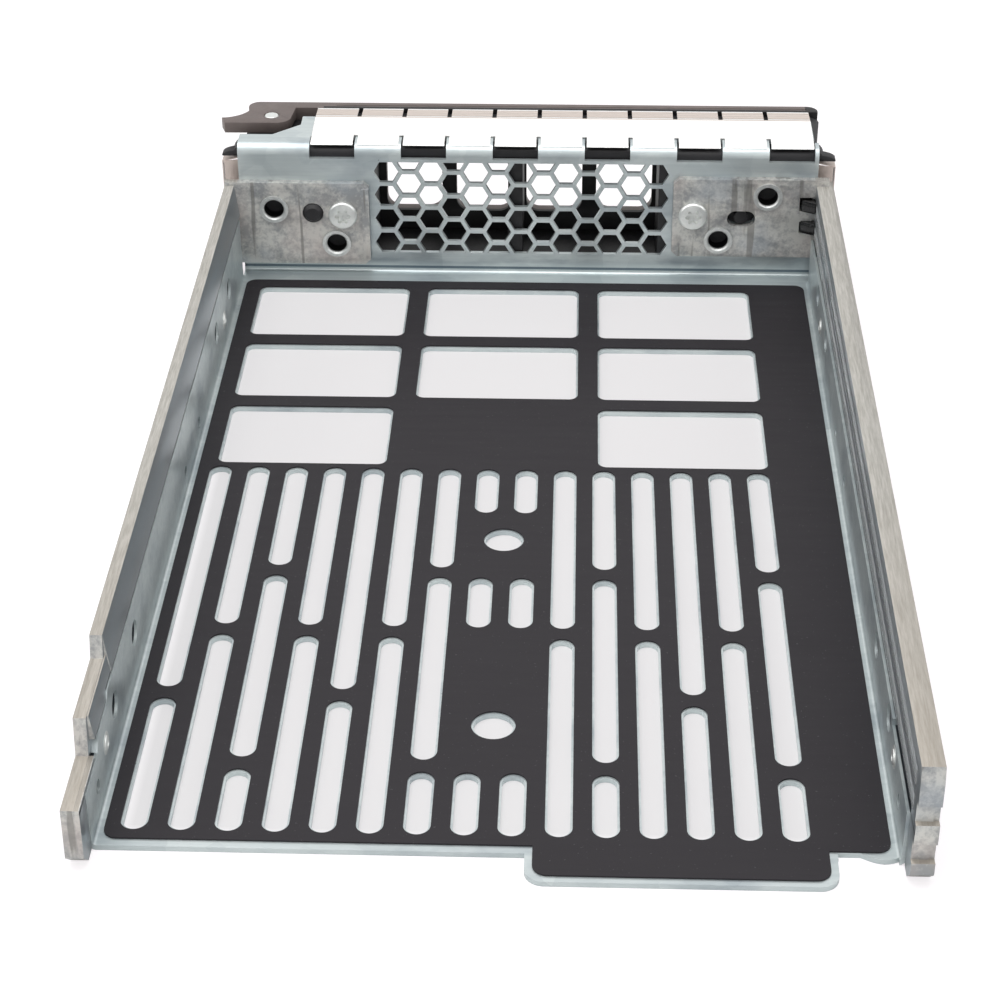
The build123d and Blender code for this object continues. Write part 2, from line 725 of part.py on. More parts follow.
    # recesses for the leaf springs, and rounded caps over their upper ends
    leaf_bottom = leaf_low - leaf_foot - spring_room
    for face_x, side in ((bezel_left, 1), (bezel_right + bezel_right_taper, -1)):
        with BuildSketch(Plane.XY.offset(leaf_bottom)):
            with Locations((face_x + side * cap_reach / 2, leaf_y)):
                Rectangle(cap_reach, leaf_width + 2 * spring_room)
        extrude(amount=leaf_high + cap_height - leaf_bottom, mode=Mode.SUBTRACT)
    for face_x, side in ((bezel_left, 1), (bezel_right + bezel_right_taper, -1)):
        with BuildSketch(front_view(leaf_y - leaf_width / 2)):
            with BuildLine():
                cap_low = leaf_high + leaf_sheet
                cap_high = leaf_high + cap_height
                root_x = face_x - side * cap_height / 2
                Polyline((face_x + side * cap_reach, cap_low), (root_x, cap_low), (root_x, cap_high),
                         (face_x, cap_high))
                RadiusArc((face_x, cap_high), (face_x + side * cap_reach, cap_low),
                          side * cap_reach * 1.05)
            make_face()
        extrude(amount=-leaf_width)
bezel.part.label = "bezel"
export_step(bezel.part, "parts/bezel.step")

# Handle
with BuildPart() as handle:
    with BuildSketch(front_view(plate_rear)):
        with Locations(((handle_left + handle_right) / 2, (handle_low + handle_high) / 2)):
            Rectangle(handle_left - handle_right, handle_high - handle_low)
        with Locations((grille_x, grille_z)):
            with GridLocations(grille_pitch, 1, grille_count, 1):
                RectangleRounded(grille_width, grille_height, grille_radius, mode=Mode.SUBTRACT)
        window_left = button_left + button_clearance
        window_right = button_right - button_travel - 2 * button_clearance
        with Locations(((window_left + window_right) / 2, button_z)):
            Rectangle(window_left - window_right, button_height + 2 * button_clearance,
                      mode=Mode.SUBTRACT)
        with Locations(*lamp_places):
            Circle(lamp_radius, mode=Mode.SUBTRACT)
    extrude(amount=handle_plate)
    corners = handle.edges().filter_by(Axis.Z).group_by(Axis.Y)[0].sort_by(Axis.X)
    fillet([corners[0], corners[-1]], corner_radius)
    # arms with a horn that reaches beyond the side of the caddy
    for level in (handle_low, handle_high - arm_thickness):
        with BuildSketch(Plane((pivot_x, pivot_y, level))):
            arm_left = handle_left - pivot_x
            arm_front = plate_rear - pivot_y
            with BuildLine():
                Polyline((-4.1, arm_front), (arm_left, arm_front), (arm_left - 0.26, -1.9))
                ThreePointArc((arm_left - 0.26, -1.9), (5.9, 0.1), (horn_reach, 1.3))
                Polyline((horn_reach, 1.3), (8.2, 3.5), (-1.0, 3.4))
                ThreePointArc((-1.0, 3.4), (-3.0, 2.6), (-3.7, 0.6))
                Line((-3.7, 0.6), (-4.1, arm_front))
            make_face()
            Circle(pivot_radius + pivot_clearance, mode=Mode.SUBTRACT)
        extrude(amount=arm_thickness)
    # groove along the top of the plate
    with BuildSketch(Plane.XY.offset(handle_high)):
        with Locations(((pivot_x - swing_radius + handle_right) / 2, plate_front + handle_plate / 2)):
            Rectangle(pivot_x - swing_radius - handle_right - 2 * corner_radius, top_groove)
    extrude(amount=-top_groove_depth, mode=Mode.SUBTRACT)
    # catch behind the plate, beside the hook of the button
    catch_left = button_left + catch_nose + catch_thickness + button_clearance - catch_gap
    catch_right = catch_left - catch_thickness
    catch_rear = plate_rear + hook_depth + 2 * button_clearance + catch_thickness + hook_depth
    with BuildSketch(Plane.XY.offset(button_z - catch_height / 2)):
        with BuildLine():
            Polyline((catch_left, plate_rear), (catch_left, catch_rear), (catch_right, catch_rear),
                     (catch_right - catch_nose, catch_rear - catch_thickness / 2),
                     (catch_right - catch_nose, catch_rear - catch_thickness),
                     (catch_right, catch_rear - catch_thickness), (catch_right, plate_rear), close=True)
        make_face()
    extrude(amount=catch_height)
handle.part.label = "handle"
export_step(handle.part, "parts/handle.step")

# Pivot pin
with BuildPart() as pivot_pin:
    with BuildSketch(Plane((pivot_x, pivot_y, handle_low))):
        Circle(pivot_radius)
    extrude(amount=handle_high - handle_low)
    chamfer(pivot_pin.edges().filter_by(GeomType.CIRCLE), pivot_radius / 6)
pivot_pin.part.label = "pivot_pin"
export_step(pivot_pin.part, "parts/pivot_pin.step")


def coil_points(centre, along, across, radius, turns, rise):
    # corners of a wound wire: turns about the line from centre in the direction along
    third = along.cross(across)
    steps = turns * coil_sides
    return [centre + along * (rise * step / steps)
            + across * (radius * cos(2 * pi * step / coil_sides))
            + third * (radius * sin(2 * pi * step / coil_sides))
            for step in range(steps + 1)]


# Torsion spring around the pin
with BuildPart() as handle_spring:
    spring_base = Vector(pivot_x, pivot_y, handle_spring_z + handle_spring_wire / 2)
    with BuildLine() as torsion_coil:
        Polyline(*coil_points(spring_base, Vector(0, 0, 1), Vector(1, 0, 0), handle_spring_radius,
                              handle_spring_turns, handle_spring_turns * handle_spring_pitch))
    with BuildSketch(Plane(origin=torsion_coil.line @ 0, z_dir=torsion_coil.line % 0)):
        RegularPolygon(handle_spring_wire / 2, wire_sides)
    sweep(path=torsion_coil.line, transition=Transition.RIGHT)
handle_spring.part.label = "handle_spring"
export_step(handle_spring.part, "parts/handle_spring.step")

# Release button
with BuildPart() as release_button:
    with BuildSketch(Plane.XY.offset(button_z - button_height / 2)):
        hook_rear = plate_rear + button_clearance + hook_depth
        with BuildLine():
            Polyline((button_left, button_front), (button_left, hook_rear),
                     (button_left - button_waist, hook_rear), (button_left - button_waist, button_rear),
                     (button_right, button_rear), (button_right, button_front), close=True)
        make_face()
    extrude(amount=button_height)
    with BuildSketch(front_view(button_rear - button_guide_depth)):
        with Locations(((button_left - button_waist + button_right) / 2, button_z)):
            Rectangle(button_width - button_waist, button_height + 2 * button_guide)
    extrude(amount=-button_guide_depth)
    # finger ribs on the front face
    with BuildSketch(front_view(button_front)):
        with Locations(((button_left + button_right) / 2, button_z)):
            with GridLocations(button_width / (grip_count + 1), 1, grip_count, 1):
                Rectangle(button_width / (grip_count + 1) / 2, button_height - 2)
    extrude(amount=-grip_depth, mode=Mode.SUBTRACT)
    # blind bore for the spring
    spring_bore_depth = button_spring_turns + button_travel
    with BuildSketch(Plane.YZ.offset(button_right)):
        with Locations((button_rear - button_spring_seat, button_z)):
            Circle(button_spring_bore)
    extrude(amount=spring_bore_depth, mode=Mode.SUBTRACT)
release_button.part.label = "release_button"
export_step(release_button.part, "parts/release_button.step")

# Coil spring of the button, seated on the end wall of the pocket
with BuildPart() as button_spring:
    spring_start = pocket_right + button_spring_wire / 2
    spring_end = button_right + spring_bore_depth - button_travel - button_spring_wire
    with BuildLine() as button_coil:
        Polyline(*coil_points(Vector(spring_start, button_rear - button_spring_seat, button_z),
                              Vector(1, 0, 0), Vector(0, 1, 0), button_spring_radius,
                              button_spring_turns, spring_end - spring_start))
    with BuildSketch(Plane(origin=button_coil.line @ 0, z_dir=button_coil.line % 0)):
        RegularPolygon(button_spring_wire / 2, wire_sides)
    sweep(path=button_coil.line, transition=Transition.RIGHT)
button_spring.part.label = "button_spring"
export_step(button_spring.part, "parts/button_spring.step")


def light_pipe(rail_x, width, height, level):
    # clear bar along the rail with a sideways step to its window in the wall
    jog_front = cast_face + pipe_jog_gap
    with BuildPart() as pipe:
        with BuildSketch(Plane.XY.offset(level - height / 2)):
            with BuildLine():
                FilletPolyline((rail_x, pipe_rear), (rail_x, jog_front + pipe_jog),
                               (pipe_x, jog_front), (pipe_x, bezel_front + pipe_end_gap),
                               radius=pipe_bend)
            trace(line_width=width)
        extrude(amount=height)
    return pipe


for name, rail_x, width, height, level in (
        ("upper_light_pipe", upper_pipe_rail_x, upper_pipe_width, upper_pipe_height, upper_pipe_z),
        ("lower_light_pipe", lower_pipe_rail_x, lower_pipe_width, lower_pipe_height, lower_pipe_z)):
    pipe = light_pipe(rail_x, width, height, level)
    pipe.part.label = name
    export_step(pipe.part, f"parts/{name}.step")

# Spring strip on the top flange
with BuildPart() as top_emi_strip:
    level = tray_top + strip_sheet / 2
    with BuildSketch(Plane.YZ.offset(strip_right)):
        with BuildLine():
            Polyline((strip_rear, level), (strip_ridge_y, level + strip_rise),
                     (strip_front, level + strip_drop))
        trace(line_width=strip_sheet)
    extrude(amount=strip_left - strip_right)
    # rear fingers that hook into the windows of the fold
    with BuildSketch(Plane.YZ.offset(strip_right)):
        with BuildLine():
            Polyline((strip_rear, level), (strip_rear + hook_reach, level - hook_drop))
        trace(line_width=strip_sheet)
    extrude(amount=strip_left - strip_right)
    slit_count = int((strip_left - strip_right) / finger_pitch)
    first_slit = bend_window_x + bend_window_pitch * (bend_window_count - 1) / 2 - finger_pitch / 2
    with BuildSketch(Plane.XY.offset(tray_top - sheet)):
        for slit in range(slit_count):
            x = first_slit - slit * finger_pitch
            with Locations((x, strip_front + front_slit_length / 2)):
                Rectangle(finger_slit, front_slit_length)
            with Locations((x, strip_rear - rear_slit_length / 2 + hook_reach / 2)):
                Rectangle(finger_slit, rear_slit_length + hook_reach)
    extrude(amount=2 * sheet + strip_rise, mode=Mode.SUBTRACT)
    # fingers between the windows end flat
    with BuildSketch(Plane.XY.offset(tray_top - sheet)):
        with Locations((bend_window_x - finger_pitch, strip_rear + hook_reach / 2)):
            with GridLocations(bend_window_pitch, 1, bend_window_count, 1):
                with Locations((0, strip_sheet / 2)):
                    Rectangle(finger_pitch, hook_reach + strip_sheet)
    extrude(amount=2 * sheet, mode=Mode.SUBTRACT)
top_emi_strip.part.label = "top_emi_strip"
export_step(top_emi_strip.part, "parts/top_emi_strip.step")


def leaf_spring(face_x, reach_x):
    # bowed leaf between two feet on the side of the bezel
    side = 1 if reach_x > 0 else -1
    inner = face_x + side * (leaf_sheet / 2 + leaf_seat)
    crest = reach_x - side * leaf_sheet / 2
    middle = (leaf_low + leaf_high) / 2
    with BuildPart() as leaf:
        with BuildSketch(front_view(leaf_y - leaf_width / 2)):
            with BuildLine():
                Polyline((inner, leaf_low - leaf_foot), (inner, leaf_low))
                ThreePointArc((inner, leaf_low), (crest, middle), (inner, leaf_high))
            trace(line_width=leaf_sheet)
        extrude(amount=-leaf_width)
    return leaf


for name, face_x, reach_x in (("left_emi_spring", bezel_left, left_leaf_reach),
                              ("right_emi_spring", bezel_right + bezel_right_taper, right_leaf_reach)):
    leaf = leaf_spring(face_x, reach_x)
    leaf.part.label = name
    export_step(leaf.part, f"parts/{name}.step")
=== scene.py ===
import json
import math
import bpy
from mathutils import Euler, Matrix, Vector


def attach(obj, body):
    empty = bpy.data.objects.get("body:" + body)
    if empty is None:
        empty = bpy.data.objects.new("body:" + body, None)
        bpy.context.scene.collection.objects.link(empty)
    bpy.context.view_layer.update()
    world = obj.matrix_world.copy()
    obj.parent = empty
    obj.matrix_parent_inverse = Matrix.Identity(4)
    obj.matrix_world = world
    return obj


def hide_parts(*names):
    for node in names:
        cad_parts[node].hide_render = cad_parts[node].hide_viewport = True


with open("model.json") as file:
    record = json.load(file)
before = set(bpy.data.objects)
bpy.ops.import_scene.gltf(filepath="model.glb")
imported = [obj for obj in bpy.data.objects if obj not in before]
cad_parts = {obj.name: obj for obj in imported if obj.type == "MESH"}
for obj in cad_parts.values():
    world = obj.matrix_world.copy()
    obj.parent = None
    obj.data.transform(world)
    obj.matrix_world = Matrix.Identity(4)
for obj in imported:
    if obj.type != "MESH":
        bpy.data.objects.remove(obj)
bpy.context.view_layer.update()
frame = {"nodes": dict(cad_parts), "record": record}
nodes = frame["nodes"]
mm = 0.001


# Shader maths: a socket that works in Python expressions

class Wire:
    def __init__(self, graph, socket):
        self.graph = graph
        self.socket = socket

    def maths(self, operation, *others):
        return self.graph.node("ShaderNodeMath", {"operation": operation}, self, *others)

    def __add__(self, other):
        return self.maths("ADD", other)

    def __sub__(self, other):
        return self.maths("SUBTRACT", other)

    def __rsub__(self, other):
        return self * -1 + other

    def __mul__(self, other):
        return self.maths("MULTIPLY", other)

    def __truediv__(self, other):
        return self.maths("DIVIDE", other)

    def __pow__(self, other):
        return self.maths("POWER", other)

    def __gt__(self, other):
        return self.maths("GREATER_THAN", other)

    def __lt__(self, other):
        return self.maths("LESS_THAN", other)

    __radd__ = __add__
    __rmul__ = __mul__

    def clamp(self):
        return self.graph.node("ShaderNodeClamp", {}, self)


class Graph:
    # one material and its nodes
    def __init__(self, name):
        self.material = bpy.data.materials.new(name)
        self.material.use_nodes = True
        self.tree = self.material.node_tree
        self.shader = self.tree.nodes["Principled BSDF"]
        self.coords = self.tree.nodes.new("ShaderNodeTexCoord")

    def place(self, stretch=(1, 1, 1), turn=(0, 0, 0)):
        # object coordinates in millimetres, stretched and turned
        mapping = self.tree.nodes.new("ShaderNodeMapping")
        self.tree.links.new(self.coords.outputs["Object"], mapping.inputs["Vector"])
        mapping.inputs["Rotation"].default_value = turn
        mapping.inputs["Scale"].default_value = [part / mm for part in stretch]
        return Wire(self, mapping.outputs[0])

    def part(self, vector, axis):
        split = self.tree.nodes.new("ShaderNodeSeparateXYZ")
        self.tree.links.new(vector, split.inputs[0])
        return Wire(self, split.outputs[axis])

    def facing(self, axis):
        # the part of the surface normal that points along X, Y or Z
        return self.part(self.coords.outputs["Normal"], axis)

    def height(self, axis):
        # object coordinate along X, Y or Z, in millimetres
        return self.part(self.place().socket, axis)

    def band(self, axis, low, high):
        # 1 where that coordinate lies between low and high
        level = self.height(axis)
        return (level > low) * (level < high)

    def node(self, kind, settings, *values, **named):
        made = self.tree.nodes.new(kind)
        for key, value in settings.items():
            if key == "stops":
                self.grade(made.color_ramp, value)
            else:
                setattr(made, key, value)
        for socket, value in zip(made.inputs, values):
            self.fill(socket, value)
        for key, value in named.items():
            self.fill(made.inputs[key], value)
        return Wire(self, made.outputs[0])

    def grade(self, scale, stops):
        while len(scale.elements) < len(stops):
            scale.elements.new(0.5)
        for element, (spot, value) in zip(scale.elements, stops):
            element.position = spot
            element.color = (value, value, value, 1)

    def fill(self, slot, value):
        if isinstance(value, Wire):
            self.tree.links.new(value.socket, slot)
        elif isinstance(value, tuple) and slot.type == "RGBA":
            slot.default_value = (*value, 1.0)
        else:
            slot.default_value = value

    def noise(self, size, detail, roughness, stretch=(1, 1, 1), turn=(0, 0, 0)):
        # cloudy noise whose blotches are about size millimetres wide
        return self.node("ShaderNodeTexNoise", {}, Vector=self.place(stretch, turn), Scale=1.0 / size,
                         Detail=detail, Roughness=roughness)

    def cells(self, size):
        # a random colour for each cell of about size millimetres
        made = self.tree.nodes.new("ShaderNodeTexVoronoi")
        self.fill(made.inputs["Vector"], self.place())
        made.inputs["Scale"].default_value = 1.0 / size
        return Wire(self, made.outputs["Color"])

    def ramp(self, value, *stops):
        return self.node("ShaderNodeValToRGB", {"stops": stops}, value)

    def mix(self, share, first, second):
        made = self.tree.nodes.new("ShaderNodeMix")
        made.data_type = "RGBA"
        for slot, value in ((0, share), (6, first), (7, second)):
            self.fill(made.inputs[slot], value)
        return Wire(self, made.outputs[2])

    def bump(self, height, strength, distance):
        made = self.tree.nodes.new("ShaderNodeBump")
        self.fill(made.inputs["Height"], height)
        made.inputs["Strength"].default_value = strength
        made.inputs["Distance"].default_value = distance * mm
        return Wire(self, made.outputs[0])

    def finish(self, **sockets):
        for name, value in sockets.items():
            self.fill(self.shader.inputs[name.replace("_", " ")], value)
        return self.material


def screen(red, green, blue):
    # colour as it looks on the screen, 0 to 255, as a scene colour
    shares = [part / 255 for part in (red, green, blue)]
    return tuple(part / 12.92 if part <= 0.04045 else ((part + 0.055) / 1.055) ** 2.4 for part in shares)


# Galvanised sheet: flowers of zinc, smudges, painted shade in its holes and along the flanges' top edges
# where they meet the rails, painted shade at the foot of the front wall and a painted dark reflection along
# its fold

zinc = {"bright": screen(218, 225, 224), "dull": screen(178, 188, 191), "stainAndShade": screen(128, 140, 151),
        # gap is the colour of painted shade in holes and along the flanges' top edges; fold is a painted dark
        # reflection
        "gap": screen(40, 44, 50), "fold": screen(66, 88, 104),
        "flower": 5.0, "metal": 0.6, "smooth": 0.26, "rough": 0.42,
        "flangeX": 51.9, "boreY": (-66, 84), "boreZ": (2.4, 8.6), "ledgeZ": (8.7, 13),
        "wallY": (-73.5, -70.6), "foldZ": (1.45, 1.95), "footShadeZ": (2.2, 5.2)}


def zincSheet():
    g = Graph("zincSheet")
    grey = g.node("ShaderNodeRGBToBW", {}, g.cells(zinc["flower"]))
    cloud = g.noise(22, 4, 0.6)
    fine = g.noise(0.7, 2, 0.6)
    streak = g.noise(1.0, 3, 0.6, stretch=(0.05, 1, 1))
    smudge = g.ramp(g.noise(9, 4, 0.6, stretch=(0.5, 1, 1)), (0.5, 0.0), (0.72, 0.55))
    blend = (grey * 0.35 + cloud * 0.6 + (streak - 0.5) * 0.9).clamp()
    colour = g.mix(smudge, g.mix(blend, zinc["dull"], zinc["bright"]), zinc["stainAndShade"])
    # painted shade on the walls of the flanges' holes and on the flanges' top edges
    outer = g.height(0) ** 2 > zinc["flangeX"] ** 2
    bore = (g.facing(0) ** 2 < 0.1) * g.band(2, *zinc["boreZ"]) * outer * g.band(1, *zinc["boreY"])
    ledge = (g.facing(2) > 0.8) * g.band(2, *zinc["ledgeZ"]) * outer
    colour = g.mix((bore + ledge).clamp(), colour, zinc["gap"])
    # painted streaky shade at the foot of the front wall
    wall = g.band(1, *zinc["wallY"])
    low, high = zinc["footShadeZ"]
    shade = g.ramp(g.noise(3.2, 4, 0.6, stretch=(0.25, 1, 1)), (0.42, 0.0), (0.6, 0.55))
    foot = wall * ((g.height(2) - low) / 0.8).clamp() * ((high - g.height(2)) / 2).clamp() * shade
    colour = g.mix(foot, colour, zinc["stainAndShade"])
    # painted dark reflection in a band along the fold at the foot of the front wall
    colour = g.mix(wall * g.band(2, *zinc["foldZ"]) * 0.8, colour, zinc["fold"])
    worn = grey * 0.5 + cloud * 0.5
    rough = zinc["smooth"] + (zinc["rough"] - zinc["smooth"]) * worn + (fine - 0.5) * 0.12
    return g.finish(Base_Color=colour, Metallic=zinc["metal"], Roughness=rough,
                    Normal=g.bump(streak + fine * 0.6, 0.14, 0.05))


# Cast rails: mottled inside, drawn along their sides and milled on top

cast = {"pale": screen(210, 209, 204), "dark": screen(158, 159, 160), "pink": screen(206, 193, 187),
        "blue": screen(166, 177, 188), "side": screen(156, 165, 172), "milled": screen(190, 187, 181),
        "marks": screen(160, 157, 150), "worn": screen(162, 150, 136), "seamShade": screen(46, 48, 52),
        "bore": screen(88, 90, 94), "scratch": screen(132, 130, 126),
        "topX": 51.7, "wornFrom": 20, "wornOver": 70, "seamHalf": (0.1, 0.32), "seamFrom": -69,
        "boreY": (-60, 84), "boreZ": (2, 9.5)}


def castMetal(name, across, ledges):
    # across: direction of the milling marks on the rail's top, in degrees
    # ledges: where along the rail each height of the tray's flange starts, and that height
    g = Graph(name)
    cloud = g.noise(6.5, 5, 0.65)
    tint = g.noise(11, 3, 0.5)
    fleck = g.noise(0.9, 3, 0.7)
    milling = g.noise(0.3, 3, 0.7, stretch=(1, 0.07, 1), turn=(0, 0, math.radians(across)))
    drawn = g.noise(1.6, 3, 0.6, stretch=(1, 0.05, 1))
    side = g.facing(0) ** 2 > 0.6
    milled = (g.facing(2) > 0.8) * (g.height(0) ** 2 > cast["topX"] ** 2)
    rear = ((g.height(1) - cast["wornFrom"]) / cast["wornOver"]).clamp()
    blotch = g.ramp(cloud + (fleck - 0.5) * 0.6, (0.38, 0.0), (0.6, 1.0))
    warm = g.ramp(tint, (0.5, 0.0), (0.66, 0.45))
    cold = g.ramp(tint, (0.34, 0.35), (0.46, 0.0))
    body = g.mix(cold, g.mix(warm, g.mix(blotch, cast["dark"], cast["pale"]), cast["pink"]), cast["blue"])
    body = g.mix(side, body, g.mix(drawn, cast["side"], cast["dark"]))
    top = g.mix(g.ramp(milling, (0.34, 0.0), (0.66, 1.0)), cast["marks"], cast["milled"])
    colour = g.mix(milled, body, g.mix(rear * 0.45, top, cast["worn"]))
    scratch = g.noise(1.6, 2, 0.4, stretch=(1, 1, 0.06), turn=(0, math.radians(24), 0))
    scratch = g.ramp(scratch, (0.62, 0.0), (0.66, 0.7)) * (1 - side) * (1 - milled)
    colour = g.mix(scratch, colour, cast["scratch"])
    # painted shade along a thin line above the flange, and painted shade on the walls of the holes
    level = ledges[0][1]
    for (start, high), (_, before) in zip(ledges[1:], ledges):
        level = (g.height(1) > start) * (high - before) + level
    under, over = cast["seamHalf"]
    seamShade = side * (g.height(2) > level - under) * (g.height(2) < level + over)
    seamShade = seamShade * (g.height(1) > cast["seamFrom"])
    bore = (g.facing(0) ** 2 < 0.1) * g.band(2, *cast["boreZ"]) * g.band(1, *cast["boreY"])
    colour = g.mix(bore, g.mix(seamShade, colour, cast["seamShade"]), cast["bore"])
    rough = 0.42 + (fleck - 0.5) * 0.2 - milled * 0.06 - side * 0.08
    relief = (1 - side * 0.8) * (fleck * 0.7 + cloud * 0.6) + milled * (milling - 0.5)
    return g.finish(Base_Color=colour, Metallic=0.5 + side * 0.3, Roughness=rough,
                    Normal=g.bump(relief, 0.28, 0.12))


# Film on the floor, dusty, a little rubbed, with a painted sheen that lightens it towards the rear

film = {"body": screen(33, 30, 34), "worn": screen(43, 40, 44), "dust": screen(120, 120, 122),
        "sheenFrom": -65, "sheenOver": 150}


def insulatorFilm():
    g = Graph("insulatorFilm")
    cloud = g.noise(30, 4, 0.55)
    speck = g.node("ShaderNodeTexNoise", {}, Vector=g.place(), Scale=3.4, Detail=1.0)
    dust = g.ramp(speck, (0.75, 0.0), (0.78, 0.35))
    rub = g.noise(1.4, 3, 0.6, stretch=(0.12, 1, 1), turn=(0, 0, math.radians(20)))
    rear = ((g.height(1) - film["sheenFrom"]) / film["sheenOver"]).clamp()
    # the worn colour mixes random mottling with a painted sheen that lightens towards the rear
    colour = g.mix(cloud * 0.5 + rear * 0.5, film["body"], film["worn"])
    colour = g.mix(dust, colour, film["dust"])
    grain = g.noise(0.25, 2, 0.6)
    return g.finish(Base_Color=colour, Roughness=0.5 + (rub - 0.5) * 0.16, Specular_IOR_Level=0.25,
                    Normal=g.bump(grain, 0.08, 0.03))


# Bright steel: the spring strip, the side leaves, screws, collars and coil springs

# rear is a painted highlight white, and the rear facets also glow a little as painted light
strip = {"rear": screen(255, 255, 254), "front": screen(216, 203, 194), "leaf": screen(214, 198, 191),
         "creaseShade": screen(150, 132, 120), "paintedGlow": 0.12, "edgeY": -87.55, "lineY": (-84.1, -83.75),
         "creaseY": (-84.4, -84.1)}


def springStrip():
    # painted highlight lines along both edges of the front facet, with painted shade in a narrow band beside
    # the rear one; the rear facets get a painted highlight white and a faint painted glow
    g = Graph("springStrip")
    streak = g.noise(0.8, 3, 0.6, stretch=(0.04, 1, 1))
    cloud = g.noise(16, 3, 0.5)
    tilted = g.facing(1) < -0.01
    # the rear facets get the painted highlight white
    colour = g.mix(tilted, g.mix(cloud * 0.3, strip["rear"], strip["front"]), strip["front"])
    # painted highlight lines along the front facet's edges
    line = ((g.height(1) < strip["edgeY"]) + g.band(1, *strip["lineY"])) * tilted
    # painted shade in a narrow band beside the rear highlight line
    creaseShade = g.band(1, *strip["creaseY"]) * tilted
    colour = g.mix(creaseShade * 0.6, g.mix(line.clamp(), colour, strip["rear"]), strip["creaseShade"])
    # the rear facets glow a little: painted light
    return g.finish(Base_Color=colour, Metallic=0.25, Roughness=0.22 + streak * 0.12,
                    Normal=g.bump(streak, 0.04, 0.03), Emission_Color=g.mix(tilted, colour, (0.0, 0.0, 0.0)),
                    Emission_Strength=strip["paintedGlow"])


def leafMetal():
    g = Graph("leafMetal")
    streak = g.noise(0.8, 3, 0.6, stretch=(1, 1, 0.05))
    colour = g.mix(streak, strip["leaf"], strip["front"])
    return g.finish(Base_Color=colour, Metallic=0.55, Roughness=0.3 + streak * 0.1,
                    Normal=g.bump(streak, 0.05, 0.03))


steel = {"plated": (screen(212, 214, 212), screen(240, 242, 239)),
         # deep is the colour of painted shade deep inside the collars
         "collar": (screen(176, 178, 178), screen(236, 238, 235)), "deep": screen(18, 18, 20),
         "deepFrom": -71.2, "deepOver": 0.25,
         "wire": (screen(150, 150, 150), screen(205, 205, 205))}


def platedSteel():
    g = Graph("platedSteel")
    fleck = g.noise(0.8, 3, 0.6)
    ring = g.noise(0.2, 2, 0.6)
    return g.finish(Base_Color=g.mix(fleck, *steel["plated"]), Metallic=0.65, Roughness=0.26 + fleck * 0.2,
                    Normal=g.bump(ring, 0.08, 0.03))


def collarMetal():
    # bright lip, painted shade deep inside
    g = Graph("collarMetal")
    fleck = g.noise(0.7, 3, 0.6)
    inside = ((steel["deepFrom"] - g.height(1)) / steel["deepOver"]).clamp()
    colour = g.mix(inside, g.mix(fleck, *steel["collar"]), steel["deep"])
    return g.finish(Base_Color=colour, Metallic=0.55, Roughness=0.3 + fleck * 0.2,
                    Normal=g.bump(fleck, 0.16, 0.05))


def springWire():
    g = Graph("springWire")
    fleck = g.noise(0.5, 3, 0.6)
    return g.finish(Base_Color=g.mix(fleck, *steel["wire"]), Metallic=0.9, Roughness=0.22 + fleck * 0.15)


# Mouldings, and the clear plastic of the light pipes

plastic = {
    "bezelBlack": {"body": screen(26, 25, 27), "worn": screen(38, 37, 40), "rough": 0.5, "grain": 0.3},
    "handleGrey": {"body": screen(102, 92, 89), "worn": screen(121, 110, 106), "rough": 0.48, "grain": 0.35},
    "buttonPlastic": {"body": screen(40, 40, 43), "worn": screen(52, 52, 55), "rough": 0.42, "grain": 0.3},
}
handleDark = {"colour": screen(24, 22, 24), "rightOf": 37.5, "behind": -89.5, "end": -50.9}
# inside is the colour of painted shade on the pipe where it runs through the wall
pipe = {"clear": screen(214, 218, 220), "inside": screen(12, 12, 14), "wall": -68.3, "clearness": 0.6}


def moulded(name, dark=None):
    # fine spark-eroded texture, and a dark rear edge and right end where dark says so
    look = plastic[name]
    g = Graph(name)
    cloud = g.noise(14, 3, 0.55)
    pits = g.noise(look["grain"], 2, 0.7)
    rub = g.noise(2.2, 4, 0.6)
    colour = g.mix(g.ramp(cloud * 0.6 + rub * 0.4, (0.35, 0.0), (0.7, 1.0)), look["body"], look["worn"])
    if dark:
        edge = (g.height(0) < dark["rightOf"]) * (g.height(1) > dark["behind"])
        colour = g.mix((edge + (g.height(0) < dark["end"])).clamp(), colour, dark["colour"])
    return g.finish(Base_Color=colour, Roughness=look["rough"] + (pits - 0.5) * 0.2 + (cloud - 0.5) * 0.08,
                    Specular_IOR_Level=0.45, Normal=g.bump(pits, 0.28, 0.06))


def clearPlastic():
    # painted shade where the pipe runs through the wall
    g = Graph("clearPlastic")
    cloud = g.noise(5, 3, 0.6)
    inside = g.height(1) < pipe["wall"]
    return g.finish(Base_Color=g.mix(inside, pipe["clear"], pipe["inside"]), Roughness=0.1 + cloud * 0.08,
                    Transmission_Weight=pipe["clearness"], IOR=1.49)


# Milling direction, and heights of the tray's flange beside each rail

railMarks = {"left": (38, ((-99, 12.2), (68.6, 11.1), (77.6, 9.1))),
             "right": (-52, ((-99, 9.8), (69.6, 8.8)))}
materials = {
    "galvanised_sheet": zincSheet(),
    "die_cast": castMetal("castMetal", *railMarks["left"]),
    "film_charcoal": insulatorFilm(),
    "fastener_steel": platedSteel(),
    "bezel_black": moulded("bezelBlack"),
    "handle_grey": moulded("handleGrey", handleDark),
    "button_plastic": moulded("buttonPlastic"),
    "spring_steel": springWire(),
    "spring_strip": springStrip(),
    "clear_pipe": clearPlastic(),
}
rightCast = castMetal("rightCastMetal", *railMarks["right"])
leafSteel = leafMetal()
print("materials made")


def paint(piece, material):
    piece.data.materials.clear()
    piece.data.materials.append(material)


slotOf = {part["node"]: part["material_slot"] for part in frame["record"]["subparts"]}
bodyOf = {node: body for body, held in frame["record"]["behaviour"]["bodies"].items() for node in held}
for name, node in nodes.items():
    paint(node, materials[slotOf[name]])
paint(nodes["wall_collars"], collarMetal())
print("frame painted")


# Mesh tools

